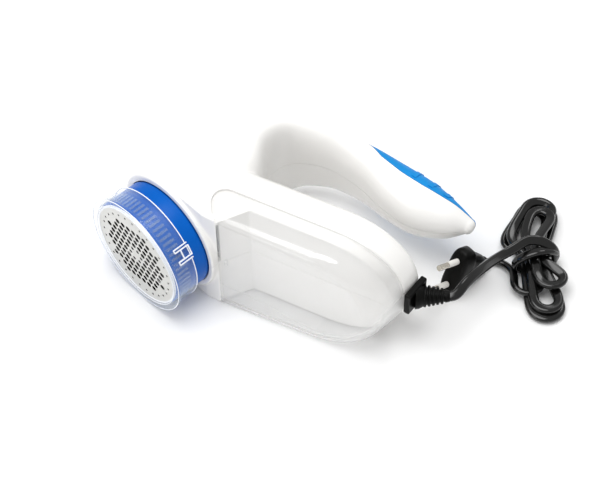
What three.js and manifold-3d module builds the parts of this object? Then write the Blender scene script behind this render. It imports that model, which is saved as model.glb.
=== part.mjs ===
// Mains fabric shaver, lying on its side: shaving head, motor housing with its curved grip,
// clear lint box, strain relief, and a flat lead in a hank with a two-pin plug.
//
// Design frame, in millimetres: x runs along the housing towards the lead, y from the lint
// box's sole up to the grip, z across the tool, with its parting plane at z = 0. The head has
// a frame of its own, whose +y points into the tool along the cutter's axis, starting at the
// front rim of the guard. The last lines move the origin under the middle of the tool.

import * as THREE from 'three';
import { mergeVertices } from 'three/addons/utils/BufferGeometryUtils.js';
import Module from 'manifold-3d';

const wasm = await Module();
wasm.setup();

// ---------------------------------------------------------------- driving dimensions
const HALF_WIDTH = 41;            // half the tool's width across z
const GAP = 0.3;                  // clearance between neighbouring pieces
const HEAD_TILT = 0.334;          // the cutter axis leans this far from +y, in radians
const WALL = 2.4;                 // housing wall
const GRIP_DEPTH = 1.9;           // pocket of the grip insert in the handle's skin

const SOLE_Y = 17;                // outer face of the lint box
const BOX_WALL = 1.5;
const FLOOR_Y = 35;               // housing wall that closes the lint box's back
const CHEEK_TOP_Y = 43;           // edge of the box's cheeks on the housing's sides
const REAR_START_X = 112;         // where the rounded rear end begins
const BACK_Y = 69.3;              // the housing's back, facing the grip
const BACK_ROUND = 18;            // rounding along the back's two long edges
const REAR_X = 165;               // rearmost point of the housing
const FULLEST_Y = 56.5;           // level of that point
const LEAD_X = 164.8;             // rear wall at the lead's level
const LEAD_Y = 50;

const GUARD_R = 39;             // the guard's skirt
const GUARD_RIM_R = 40.7;
const GUARD_BACK = 17.2;          // depth of the skirt's back edge along the head
const COLLAR_R = 36.8;
const COLLAR_BACK = 28;           // depth of the collar's back face along the head
const HEAD_BACK_OFF = 1.6;        // the head frame starts this far in front of the plan origin
const FOIL_R = 35.0;
const CUTTER_R = 31;
const MOTOR_R = 14;
const MOTOR_FRONT = 46.5;
const MOTOR_LENGTH = 36;

const LEAD_WIDTH = 5.8;
const LEAD_THICK = 3.6;

// Stations of the head, neck and handle: a point on the outer side, a point on the inner
// side, the half width across z, and the squareness of the section between them.
const STATIONS = [
  { outer: [-30, 38.7], inner: [47, 12], half: 40.5, square: 2.0 },
  { outer: [-29, 46], inner: [50, 30], half: 41, square: 3.0 },
  { outer: [-16, 68], inner: [52, 50], half: 41, square: 3.4 },
  { outer: [6, 98], inner: [50, 72], half: 41, square: 3.2 },
  { outer: [31, 116], inner: [44, 93], half: 38.5, square: 2.8 },
  { outer: [56, 130.5], inner: [50, 108], half: 31, square: 2.5 },
  { outer: [79, 134], inner: [72, 116], half: 26.5, square: 2.3 },
  { outer: [102, 135], inner: [98, 111], half: 23.7, square: 2.2 },
  { outer: [124, 134], inner: [120, 101.5], half: 20, square: 2.2 },
  { outer: [145, 130.5], inner: [141, 96.5], half: 17, square: 2.2 },
  { outer: [163, 123.5], inner: [161, 101], half: 12.5, square: 2.2 },
  { outer: [175, 118.5], inner: [173, 108.5], half: 5.5, square: 2.1 },
];

// ---------------------------------------------------------------- materials
const plastic = (color, roughness = 0.35) =>
  new THREE.MeshStandardMaterial({ color, roughness, metalness: 0 });
const metal = (color, roughness = 0.3) =>
  new THREE.MeshStandardMaterial({ color, roughness, metalness: 1 });

const WHITE = plastic(0xf4f2ee, 0.2);
const BLUE = plastic(0x0a63c4, 0.25);
const GRIP_BLUE = plastic(0x1f8ae0, 0.5);
const CLEAR = new THREE.MeshStandardMaterial({
  color: 0xe6eef2, roughness: 0.08, metalness: 0, transparent: true, opacity: 0.35,
});
const BLACK = plastic(0x1b1b1a, 0.3);
const DARK = plastic(0x33363a, 0.5);
const BOARD = plastic(0x2f6b3a, 0.6);
const STEEL = metal(0xc9c9c4, 0.28);
const NICKEL = metal(0xd4cdbf, 0.22);
const CAN = metal(0xa9abad, 0.4);

// ---------------------------------------------------------------- solids
const toManifold = (geometry) => {
  let merged = geometry.clone();
  merged.deleteAttribute('normal');
  merged.deleteAttribute('uv');
  merged = mergeVertices(merged, 1e-4);
  return new wasm.Manifold(new wasm.Mesh({
    numProp: 3,
    vertProperties: new Float32Array(merged.attributes.position.array),
    triVerts: new Uint32Array(merged.index.array),
  }));
};

const toGeometry = (manifold) => {
  const { vertProperties, triVerts, numProp } = manifold.getMesh();
  const positions = new Float32Array((vertProperties.length / numProp) * 3);
  for (let i = 0; i < positions.length / 3; i += 1) {
    for (let axis = 0; axis < 3; axis += 1) {
      positions[3 * i + axis] = vertProperties[numProp * i + axis];
    }
  }
  const geometry = new THREE.BufferGeometry();
  geometry.setAttribute('position', new THREE.BufferAttribute(positions, 3));
  geometry.setIndex(Array.from(triVerts));
  geometry.computeVertexNormals();
  return geometry;
};

const solidOf = (shape) => (shape.isBufferGeometry ? toManifold(shape) : shape);
const join = (...shapes) => shapes.map(solidOf).reduce((whole, next) => whole.add(next));
const cut = (shape, ...tools) =>
  tools.map(solidOf).reduce((whole, tool) => whole.subtract(tool), solidOf(shape));
const common = (a, b) => solidOf(a).intersect(solidOf(b));

// The same solid with the needless small facets merged.
const lighter = (shape, tolerance = 0.06) => shape.simplify(tolerance);

function named(name, shape, material, parent) {
  const geometry = shape.isBufferGeometry ? shape : toGeometry(shape);
  const mesh = new THREE.Mesh(geometry, material);
  mesh.name = name;
  parent.add(mesh);
  return mesh;
}

// A closed skin through rings of points, each ring with the same number of points.
function loft(rings) {
  const count = rings[0].length;
  const positions = [];
  const index = [];
  for (const ring of rings) for (const p of ring) positions.push(p.x, p.y, p.z);
  for (let k = 0; k < rings.length - 1; k += 1) {
    for (let i = 0; i < count; i += 1) {
      const a = k * count + i;
      const b = k * count + ((i + 1) % count);
      index.push(a, b, a + count, b, b + count, a + count);
    }
  }
  const last = (rings.length - 1) * count;
  for (let i = 1; i < count - 1; i += 1) {
    index.push(0, i + 1, i);
    index.push(last, last + i, last + i + 1);
  }
  const geometry = new THREE.BufferGeometry();
  geometry.setAttribute('position', new THREE.Float32BufferAttribute(positions, 3));
  geometry.setIndex(signedVolume(positions, index) < 0 ? flipped(index) : index);
  return geometry;
}

function signedVolume(positions, index) {
  const corner = (i) => new THREE.Vector3().fromArray(positions, 3 * i);
  let volume = 0;
  for (let i = 0; i < index.length; i += 3) {
    volume += corner(index[i]).dot(corner(index[i + 1]).cross(corner(index[i + 2]))) / 6;
  }
  return volume;
}

function flipped(index) {
  const turned = [];
  for (let i = 0; i < index.length; i += 3) turned.push(index[i], index[i + 2], index[i + 1]);
  return turned;
}

// A plan outline, given as [x, y] points, made into a plate from z = low to z = high.
function plate(outline, low, high, holes = []) {
  const shape = new THREE.Shape(outline.map(([x, y]) => new THREE.Vector2(x, y)));
  shape.holes.push(...holes);
  const geometry = new THREE.ExtrudeGeometry(shape, { depth: high - low, bevelEnabled: false });
  return geometry.translate(0, 0, low);
}

function box(width, height, depth, x, y, z) {
  return new THREE.BoxGeometry(width, height, depth).translate(x, y, z);
}

// A turned piece about the y axis, from a closed outline of [radius, y] points.
function turned(outline, segments = 32) {
  const points = outline.map(([r, y]) => new THREE.Vector2(r, y));
  if (outline[0][0] > 0) points.push(points[0].clone());
  const geometry = toManifold(new THREE.LatheGeometry(points, segments));
  if (geometry.volume() >= 0) return geometry;
  points.reverse();
  return toManifold(new THREE.LatheGeometry(points, segments));
}

// A cylinder along y, from y = low to y = high.
function rod(radius, low, high, x = 0, z = 0, segments = 20) {
  const geometry = new THREE.CylinderGeometry(radius, radius, high - low, segments);
  return geometry.translate(x, (low + high) / 2, z);
}

// A cylinder across the tool, along z.
function pin(radius, low, high, x, y, segments = 14) {
  const geometry = new THREE.CylinderGeometry(radius, radius, high - low, segments);
  return geometry.rotateX(Math.PI / 2).translate(x, y, (low + high) / 2);
}

// ---------------------------------------------------------------- head, neck and handle
const guides = (side) => new THREE.CatmullRomCurve3(
  STATIONS.map((s) => new THREE.Vector3(s[side][0], s[side][1], 0)), false, 'centripetal');
const outerGuide = guides('outer');
const innerGuide = guides('inner');
const spread = new THREE.CatmullRomCurve3(
  STATIONS.map((s, i) => new THREE.Vector3(i * 20, s.half, s.square)), false, 'centripetal');

// The section at t, drawn in by inset all round, as a ring of points.
function handleRing(t, inset, count) {
  const outer = outerGuide.getPoint(t);
  const inner = innerGuide.getPoint(t);
  const middle = outer.clone().lerp(inner, 0.5);
  const reach = outer.clone().sub(middle);
  const depth = Math.max(reach.length() - inset, 0.4);
  reach.setLength(depth);
  const { y: half, z: square } = spread.getPoint(t);
  const across = Math.max(Math.min(half, HALF_WIDTH) - inset, 0.4);
  const power = 2 / square;
  const ring = [];
  for (let i = 0; i < count; i += 1) {
    const angle = ((i + 0.5) / count) * 2 * Math.PI;
    const u = Math.sign(Math.cos(angle)) * Math.abs(Math.cos(angle)) ** power;
    const v = Math.sign(Math.sin(angle)) * Math.abs(Math.sin(angle)) ** power;
    ring.push(new THREE.Vector3(middle.x + reach.x * u, middle.y + reach.y * u, across * v));
  }
  return ring;
}

// Head, neck and handle as one body; the tip closes with a small round nose.
function handleBody(inset, from, to, steps, count) {
  const rings = [];
  for (let k = 0; k <= steps; k += 1) {
    rings.push(handleRing(from + ((to - from) * k) / steps, inset, count));
  }
  if (to === 1) {
    const tip = rings[rings.length - 1];
    const middle = tip.reduce((sum, p) => sum.add(p), new THREE.Vector3()).divideScalar(count);
    const nose = Math.max(3.6 - inset, 0.4);
    for (const angle of [0.5, 1.0]) {
      const shrink = Math.cos(angle);
      const forward = nose * Math.sin(angle);
      rings.push(tip.map((p) => p.clone().sub(middle).multiplyScalar(shrink).add(middle)
        .add(new THREE.Vector3(forward, -0.15 * forward, 0))));
    }
  }
  return loft(rings);
}

// ---------------------------------------------------------------- iron-shaped body
// Rearmost x of the body at level y.
function rearX(y) {
  if (y < FULLEST_Y) return REAR_X - 13 * ((FULLEST_Y - y) / (FULLEST_Y - SOLE_Y)) ** 1.55;
  return REAR_X - 34 * (1 - Math.sqrt(Math.max(0, 1 - ((y - FULLEST_Y) / 13) ** 2)));
}

// Half width of the body at level y.
function halfWidth(y) {
  const into = Math.max(0, y - (BACK_Y - BACK_ROUND));
  return HALF_WIDTH - BACK_ROUND + Math.sqrt(Math.max(0, BACK_ROUND ** 2 - into ** 2));
}

// One level of the body: straight sides from frontX, and a rounded rear end.
function bodyRing(y, inset, frontX, sourceY = y) {
  const half = halfWidth(sourceY) - inset;
  const end = rearX(sourceY) - inset;
  const power = 2 / 2.2;
  const arcPoints = 14;
  const ring = [new THREE.Vector3(frontX, y, -half)];
  for (let i = 0; i <= arcPoints; i += 1) {
    const angle = -Math.PI / 2 + (Math.PI * i) / arcPoints;
    const u = Math.abs(Math.cos(angle)) ** power;
    const v = Math.sign(Math.sin(angle)) * Math.abs(Math.sin(angle)) ** power;
    ring.push(new THREE.Vector3(REAR_START_X + (end - REAR_START_X) * u, y, half * v));
  }
  ring.push(new THREE.Vector3(frontX, y, half));
  return ring;
}

function bodyLoft(levels, inset, frontX) {
  return loft(levels.map((y) => bodyRing(y, inset, frontX)));
}

// ---------------------------------------------------------------- the housing
const headGroup = new THREE.Group();
headGroup.rotation.z = -HEAD_TILT;
headGroup.position.set(-HEAD_BACK_OFF * Math.sin(HEAD_TILT), -HEAD_BACK_OFF * Math.cos(HEAD_TILT), 0);
headGroup.updateMatrix();
const fromHead = headGroup.matrix.clone();
const inBody = (shape) => toManifold(
  (shape.isBufferGeometry ? shape.clone() : toGeometry(shape)).applyMatrix4(fromHead));

// Plan outline of the block between the round head and the lint box, and of the cheeks.
const BLOCK = [[18, 24.5], [38, 17.8], [48, 17], [63, FLOOR_Y + 1.5], [63, 53], [34, 60], [8, 60],
  [-6, 40]];
const BLOCK_CAVITY = [[20, 27.5], [38, 20.8], [46.6, 20.4], [60, FLOOR_Y + 2.5], [60, 51],
  [34, 57], [10, 57], [-2, 42]];
const CHEEK = [[48.4, SOLE_Y], [43, 22], [38, 30], [37, 35], [38.2, 39.5], [42, 42.4],
  [46, CHEEK_TOP_Y], [175, CHEEK_TOP_Y], [175, 10], [48.4, 10]];

// An outline moved outwards by a distance, corner by corner.
function grow(outline, by) {
  const points = outline.map(([x, y]) => new THREE.Vector2(x, y));
  const side = THREE.ShapeUtils.area(points) > 0 ? 1 : -1;
  const outward = (a, b) => new THREE.Vector2(b.y - a.y, a.x - b.x).normalize().multiplyScalar(side);
  return points.map((p, i) => {
    const before = outward(points.at(i - 1), p);
    const after = outward(p, points[(i + 1) % points.length]);
    const corner = before.clone().add(after);
    corner.multiplyScalar(by / Math.max(corner.dot(after), 0.3));
    return [p.x + corner.x, p.y + corner.y];
  });
}

// Plan line along which the grip insert meets the handle, closed around its outer side.
const GRIP_LINE = [[70, 140], [87, 135.5], [97.6, 129], [108, 123.3], [124, 119.4], [139, 117.3],
  [155, 116.6], [173, 116.4], [186, 114.5]];
const gripRegion = (drawnIn) => plate(
  grow([...GRIP_LINE, [190, 150], [70, 150]], -drawnIn), -60, 60);

const boxLevels = [SOLE_Y, 20, 26, 32, 38, CHEEK_TOP_Y];
const upperLevels = [CHEEK_TOP_Y + GAP, 50, 56.5, 60.5, 64, 66.7, 68.5, BACK_Y];
const cheekDepth = BOX_WALL + GAP;

function housingOutside() {
  const handle = handleBody(0, 0, 1, 34, 26);
  const block = plate(BLOCK, -HALF_WIDTH, HALF_WIDTH);
  const upper = bodyLoft(upperLevels, 0, 30);
  const tongue = bodyLoft([FLOOR_Y, 39, CHEEK_TOP_Y + 1], cheekDepth, 50);
  const cheekPockets = [1, -1].map((side) => {
    const low = side > 0 ? HALF_WIDTH - cheekDepth : -HALF_WIDTH - 5;
    return plate(grow(CHEEK, GAP), low, low + cheekDepth + 5);
  });
  const beyondSkin = handleBody(-1.5, 0, 1, 30, 22);
  const gripPocket = cut(common(beyondSkin, gripRegion(0)), handleBody(GRIP_DEPTH, 0, 1, 30, 22));
  return cut(join(block, upper, handle), ...cheekPockets, boxSpace()).add(solidOf(tongue))
    .subtract(gripPocket);
}

// What the lint box needs kept free in front of the housing's slanted wall and floor.
function boxSpace() {
  const outline = [[48, SOLE_Y - 9], [48, SOLE_Y], [63, FLOOR_Y], [175, FLOOR_Y], [175, 8]];
  return plate(outline, -HALF_WIDTH - 9, HALF_WIDTH + 9);
}

function housingInside() {
  const handle = handleBody(WALL + GRIP_DEPTH - 0.6, 0.03, 0.965, 24, 18);
  const levels = [CHEEK_TOP_Y + 1, 52, 60, 65, BACK_Y - WALL];
  const upper = loft(levels.map((y) => bodyRing(y, WALL, 30, Math.min(y + 0.8, BACK_Y))));
  const tongue = bodyLoft([FLOOR_Y + WALL, CHEEK_TOP_Y + 2], cheekDepth + WALL, 52);
  const block = plate(BLOCK_CAVITY, -HALF_WIDTH + cheekDepth + WALL, HALF_WIDTH - cheekDepth - WALL);
  return join(handle, upper, tongue, block);
}

// Places of the screws that hold the two shells together, and how wide the tool is there.
const SCREWS = [
  { name: 'screw_head', x: -16, y: 60, half: 38.2 },
  { name: 'screw_neck', x: 63, y: 123.5, half: 27.5 },
  { name: 'screw_grip', x: 132, y: 109, half: 16.8 },
  { name: 'screw_box_side', x: 70, y: 62, half: 37.5 },
  { name: 'screw_rear', x: 140, y: 60, half: 28 },
];
const SCREW_R = 1.5;
const SCREW_HEAD_R = 3;
const BOSS_R = 4.4;

const lead = { x: LEAD_X, y: LEAD_Y };
const switchPlace = new THREE.Matrix4().makeRotationZ(0.53).setPosition(40, 121.4, 0);
const placed = (geometry, matrix) => toManifold(geometry.applyMatrix4(matrix));

function shells() {
  const mouth = inBody(rod(37.2, -1, 35.6, 0, 0, 40));
  const bowlSeat = inBody(rod(38, 36.1, 38.7, 0, 0, 40));
  const outlet = plate([[46, 19.2], [48.4, 16.9], [51.4, 20.8], [40, 30]], 1, 37);
  const leadHole = new THREE.BoxGeometry(14, 9.6, 9.6).translate(lead.x - 4, lead.y, 0);
  const switchWindow = placed(new THREE.BoxGeometry(24, 3.4, 9).translate(0, 0.4, 0), switchPlace);
  const switchSlot = placed(new THREE.BoxGeometry(16, 14, 4).translate(0, -3, 0), switchPlace);
  const outside = cut(housingOutside(), mouth, bowlSeat, outlet, leadHole, switchWindow, switchSlot);
  let hollow = cut(outside, housingInside());
  for (const { x, y, half } of SCREWS) {
    hollow = hollow.add(common(pin(BOSS_R, -half + 0.5, half - 0.5, x, y), outside));
  }
  for (const { x, y, half } of SCREWS) {
    hollow = cut(hollow, pin(SCREW_R + GAP, -half, half * 0.45, x, y),
      pin(SCREW_HEAD_R + GAP, -HALF_WIDTH - 2, -half * 0.62, x, y));
  }
  const above = new THREE.BoxGeometry(400, 400, 100).translate(60, 70, 50);
  const below = new THREE.BoxGeometry(400, 400, 100).translate(60, 70, -50 - GAP);
  return { upper: lighter(common(hollow, above)), lower: lighter(common(hollow, below)) };
}

function makeHousing(parent) {
  const { upper, lower } = shells();
  named('upper_shell', upper, WHITE, parent);
  named('lower_shell', lower, WHITE, parent);

  for (const { name, x, y, half } of SCREWS) {
    const head = pin(SCREW_HEAD_R, -half * 0.62 - 2.2, -half * 0.62 - 0.05, x, y);
    const shank = pin(SCREW_R, -half * 0.62 - 1, half * 0.4, x, y, 10);
    named(name, join(head, shank), STEEL, parent);
  }
}

// The soft blue skin over the outer half of the handle, with three raised grip ribs.
const GRIP_RIBS = [[132.5, 0.12], [145.5, 0.22], [157.5, 0.3]];
function makeGrip(parent) {
  const skin = cut(handleBody(0, 0, 1, 34, 26), handleBody(GRIP_DEPTH - GAP, 0, 1, 30, 22));
  let grip = common(skin, gripRegion(1.3 * GAP));
  const raised = cut(handleBody(-0.9, 0, 1, 34, 26), handleBody(GRIP_DEPTH - GAP, 0, 1, 30, 22));
  for (const [x, lean] of GRIP_RIBS) {
    const slab = placed(new THREE.BoxGeometry(3.4, 22, 22),
      new THREE.Matrix4().makeRotationZ(-lean).setPosition(x, 127, 0));
    grip = grip.add(common(common(raised, slab), gripRegion(2)));
  }
  named('grip_insert', lighter(grip), GRIP_BLUE, parent);
}

// ---------------------------------------------------------------- lint box
function makeLintBox(parent) {
  const outside = bodyLoft(boxLevels, 0, 30);
  const inner = [SOLE_Y + BOX_WALL, 24, 32, CHEEK_TOP_Y + 1];
  const inside = loft(inner.map((y) => bodyRing(y, BOX_WALL, 25)));
  const shellOnly = cut(outside, inside);
  const chute = plate([[30, 10], [48.4, 10], [48.4, SOLE_Y], [64, FLOOR_Y + 1], [64, 50], [30, 50]],
    -HALF_WIDTH + BOX_WALL, HALF_WIDTH - BOX_WALL);
  const catchBump = box(1.6, 2.4, 5, 52.4, SOLE_Y + 2, 0);
  const clear = cut(common(shellOnly, plate(CHEEK, -60, 60)), chute);
  named('lint_box', lighter(clear.add(solidOf(catchBump))), CLEAR, parent);
}

// ---------------------------------------------------------------- shaving head
// The guard's clear ring, and the latch between two slots in its skirt's back edge.
const LATCH_TURN = -0.58;
const LATCH_SLOTS = [-4.3, 4.3];
function makeGuard(parent) {
  const ring = turned([[35.9, 0.6], [36.5, 0], [39.9, 0], [GUARD_RIM_R, 0.8], [GUARD_RIM_R, 2.7],
    [GUARD_R, 3.4], [GUARD_R, GUARD_BACK], [GUARD_R - 1.4, GUARD_BACK], [GUARD_R - 1.4, 2.3],
    [35.9, 2.1]], 44);
  const at = new THREE.Matrix4().makeRotationY(LATCH_TURN);
  const onRim = (geometry) => placed(geometry, at);
  const slots = LATCH_SLOTS.map((z) => onRim(box(6, 10, 1.4, GUARD_R, 13, z)));
  const rails = [-2.9, 2.9].map((z) => onRim(box(1.4, 6.4, 1, GUARD_R + 0.3, 14.6, z)));
  const bars = [11.8, 17.6].map((y) => onRim(box(1.4, 1, 6.8, GUARD_R + 0.3, y, 0)));
  named('guard', join(cut(ring, ...slots), ...rails, ...bars), CLEAR, parent);
}

function makeCollar(parent) {
  const ring = turned([[34.6, 2.0], [35.2, 2.0], [COLLAR_R, 3.6], [COLLAR_R, COLLAR_BACK],
    [35.8, COLLAR_BACK], [35.8, 31.6], [34.6, 31.6]], 44);
  named('foil_collar', ring, BLUE, parent);
}

// The steel foil: a ring of round holes about a six-sided field of slots, over a shallow skirt.
const HOLE_COUNT = 28;
const HOLE_RING_R = 30.4;
const SLOT_PITCH = 5;
const FIELD_TURN = 0.12;          // angle of the slots' rows
const SLOT_TURN = -0.49;          // angle of each slot's length
const SLOT = [[-1.7, 0], [-0.85, 1.2], [0.85, 1.2], [1.7, 0], [0.85, -1.2], [-0.85, -1.2]];
const turnedOutline = (points, turn, at) => new THREE.Path(points.map(([x, y]) =>
  new THREE.Vector2(x, y).rotateAround(new THREE.Vector2(), turn).add(at)));

function foilHoles() {
  const hexagon = [0, 1, 2, 3, 4, 5].map((k) =>
    [0.8 * Math.cos(-k * Math.PI / 3), 0.8 * Math.sin(-k * Math.PI / 3)]);
  const holes = [];
  for (let i = 0; i < HOLE_COUNT; i += 1) {
    const angle = (i / HOLE_COUNT) * 2 * Math.PI;
    const at = new THREE.Vector2(HOLE_RING_R, 0).rotateAround(new THREE.Vector2(), angle);
    holes.push(turnedOutline(hexagon, 0, at));
  }
  for (let row = -5; row <= 5; row += 1) {
    for (let column = -7; column <= 7; column += 1) {
      const at = new THREE.Vector2(SLOT_PITCH * (column + row / 2), SLOT_PITCH * row * 0.866);
      const reach = Math.max(...[0, 1, 2].map((k) =>
        Math.abs(at.x * Math.cos(k * Math.PI / 3) + at.y * Math.sin(k * Math.PI / 3))));
      if (reach < 25.5 && at.length() < 26.2 && at.length() > 1) {
        holes.push(turnedOutline(SLOT, SLOT_TURN, at.rotateAround(new THREE.Vector2(), FIELD_TURN)));
      }
    }
  }
  return holes;
}

function makeFoil(parent) {
  const disc = new THREE.Shape().absarc(0, 0, FOIL_R, 0, 2 * Math.PI, false);
  disc.holes = foilHoles();
  const sheet = new THREE.ExtrudeGeometry(disc, { depth: 0.4, bevelEnabled: false, curveSegments: 24 });
  const face = placed(sheet, new THREE.Matrix4().makeRotationX(Math.PI / 2).setPosition(0, 1.6, 0));
  const skirt = turned([[33.9, 1.4], [34.3, 1.4], [34.3, 5], [33.9, 5]], 40);
  named('foil', join(face, skirt), STEEL, parent);
}

function makeCutter(parent) {
  const carrier = join(
    turned([[0, 3.2], [3.6, 3.2], [4, 7], [CUTTER_R, 7.6], [CUTTER_R, 9.4], [7, 10.4], [7, 17],
      [0, 17]], 36),
    ...[0, 1, 2, 3, 4, 5].map((i) => placed(box(20, 7.5, 1.4, 19, 12.6, 0),
      new THREE.Matrix4().makeRotationY((i * Math.PI) / 3))));
  named('blade_carrier', cut(carrier, rod(2.4, 12, 18, 0, 0, 6)), DARK, parent);
  for (let i = 0; i < 3; i += 1) {
    const blade = box(25, 4.9, 0.6, 17.6, 4.4, 0);
    const turn = new THREE.Matrix4().makeRotationY((i * 2 * Math.PI) / 3 + 0.4);
    named(`blade_${i + 1}`, placed(blade, turn), STEEL, parent);
  }
}

function makeDrive(parent) {
  const coil = [];
  const turns = 4;
  const perTurn = 8;
  for (let i = 0; i <= turns * perTurn; i += 1) {
    const angle = (i / perTurn) * 2 * Math.PI;
    coil.push(new THREE.Vector3(4.3 * Math.cos(angle), 17.8 + (3.9 * i) / (turns * perTurn),
      4.3 * Math.sin(angle)));
  }
  const path = new THREE.CatmullRomCurve3(coil);
  const wire = new THREE.Shape().absarc(0, 0, 0.35, 0, 2 * Math.PI, false);
  named('blade_spring', toManifold(new THREE.ExtrudeGeometry(wire,
    { steps: turns * perTurn, extrudePath: path, bevelEnabled: false, curveSegments: 3 })), STEEL, parent);

  named('drive_hub', cut(turned([[0, 22.4], [6.4, 22.4], [6.4, 29], [3.4, 31], [0, 31]], 20),
    rod(1.5, 26, 32, 0, 0, 12)), BLACK, parent);
  named('hex_driver', rod(1.9, 13.2, 22.1, 0, 0, 6), STEEL, parent);
  named('motor_shaft', rod(1.2, 26.3, MOTOR_FRONT + MOTOR_LENGTH - 4, 0, 0, 12), STEEL, parent);
}

function makeBowlAndMotor(parent) {
  const bowl = turned([[32.2, 12], [33.8, 12], [33.8, 36.4], [37.6, 36.4], [37.6, 38.4], [33.8, 38.4],
    [33.8, 45], [4, 45], [4, 43.4], [32.2, 43.4]], 40);
  const port = box(20, 9, 30, 33, 33, 19);
  const screwHoles = [-9, 9].map((x) => rod(1.9, 40, 47, x, 0, 10));
  const plungerHole = rod(2.4, 30, 45.8, -24.9, 24.9, 12);
  named('cutter_bowl', cut(bowl, port, plungerHole, ...screwHoles), DARK, parent);

  const can = turned([[0, MOTOR_FRONT], [MOTOR_R - 1, MOTOR_FRONT], [MOTOR_R, MOTOR_FRONT + 1],
    [MOTOR_R, MOTOR_FRONT + MOTOR_LENGTH], [5, MOTOR_FRONT + MOTOR_LENGTH],
    [5, MOTOR_FRONT + MOTOR_LENGTH + 2], [0, MOTOR_FRONT + MOTOR_LENGTH + 2]], 28);
  const bore = rod(1.6, MOTOR_FRONT - 1, MOTOR_FRONT + MOTOR_LENGTH - 3, 0, 0, 12);
  const threads = [-9, 9].map((x) => rod(1.9, MOTOR_FRONT - 1, MOTOR_FRONT + 5, x, 0, 10));
  named('motor', cut(can, bore, ...threads), CAN, parent);
  for (const [name, x] of [['motor_screw_left', -9], ['motor_screw_right', 9]]) {
    named(name, join(rod(1.5, 42, MOTOR_FRONT + 4, x, 0, 10), rod(2.8, 41.2, 43, x, 0, 14)),
      STEEL, parent);
  }
  const band = turned([[MOTOR_R + GAP, 60], [MOTOR_R + 2, 60], [MOTOR_R + 2, 68], [MOTOR_R + GAP, 68]], 28);
  const ears = box(9, 8, 3, MOTOR_R + 5.8, 64, 0);
  const otherEar = box(9, 8, 3, -MOTOR_R - 5.8, 64, 0);
  named('motor_clamp', join(band, ears, otherEar), DARK, parent);
}

function makeSafetySwitch(parent) {
  const place = [-24.9, 24.9];
  named('safety_plunger', rod(1.4, 32, 46.6, place[0], place[1], 12), BLACK, parent);
  named('safety_switch', box(12, 8, 6, place[0] + 3, 52, place[1] - 2), BLACK, parent);
}

// ---------------------------------------------------------------- switch and electrics
function makePowerSwitch(parent) {
  const pad = placed(new THREE.BoxGeometry(13, 2.6, 8).translate(0, 1.0, 0), switchPlace);
  const stem = placed(new THREE.BoxGeometry(5, 6, 3).translate(0, -2.9, 0), switchPlace);
  const ridges = [-4, -2, 0, 2, 4].map((x) =>
    placed(new THREE.BoxGeometry(0.8, 0.9, 6.4).translate(x, 2.6, 0), switchPlace));
  named('power_slider', join(pad, stem, ...ridges), BLUE, parent);
  named('power_switch', placed(new THREE.BoxGeometry(20, 7, 10).translate(0, -10.2, 0), switchPlace),
    BLACK, parent);
}

function makeElectrics(parent) {
  named('circuit_board', box(52, 1.6, 40, 104, 47, 0), BOARD, parent);
  named('capacitor', box(18, 9, 10, 92, 52.7, 10), GRIP_BLUE, parent);
  named('rectifier', box(8, 6, 8, 112, 51.2, -8), BLACK, parent);
  named('choke', rod(5, 48.2, 58, 116, 10, 14), CAN, parent);
}

// ---------------------------------------------------------------- lead and plug
function makeStrainRelief(parent) {
  const flange = box(3.6, 18, 17, LEAD_X + 2.4, LEAD_Y, 0);
  const wedge = box(3, 14, 13, LEAD_X + 4.4, LEAD_Y, 0);
  const throat = box(11, 9, 9, LEAD_X - 4.6, LEAD_Y, 0);
  const neck = [];
  for (let i = 0; i < 5; i += 1) {
    const radius = 5.4 - 0.35 * i;
    const start = 2.4 + 3 * i;
    neck.push([radius, start], [radius, start + 1.9], [radius - 1.3, start + 2],
      [radius - 1.3, start + 3]);
  }
  const profile = [[0, 0], [4.6, 0], ...neck, [3.6, 17.6], [3.3, BOOT_LENGTH], [0, BOOT_LENGTH]];
  const boot = placed(toGeometry(turned(profile, 12)),
    new THREE.Matrix4().makeRotationZ(BOOT_LEAN - Math.PI / 2).setPosition(bootRoot));
  named('strain_relief', join(flange, wedge, throat, boot), BLACK, parent);
  named('lead_clamp', box(8, 14, 16, LEAD_X - 16, LEAD_Y, 0), DARK, parent);
}

const BOOT_LEAN = 0.46;           // the boot's angle from the housing's length
const BOOT_LENGTH = 20;
const FLOOR_Z = -HALF_WIDTH;
const bootRoot = new THREE.Vector3(LEAD_X + 2.6, LEAD_Y, 0);
const alongBoot = (distance) => bootRoot.clone().add(
  new THREE.Vector3(Math.cos(BOOT_LEAN), Math.sin(BOOT_LEAN), 0).multiplyScalar(distance));

// The lead's free stretch from the strain relief over to the hank, by hand.
const LEAD_ROUTE = [alongBoot(BOOT_LENGTH + GAP).toArray(), alongBoot(BOOT_LENGTH + 3.5).toArray(),
  [189.6, 68, 1], [191.4, 80, -1.5], [193.4, 92, -6], [195.2, 103, -11], [197.6, 112, -15],
  [200.4, 119, -17.6]];
const HANK = { x: 213, y: 135.3, length: 97, width: 36, height: 20, turn: -1.07 };

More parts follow.
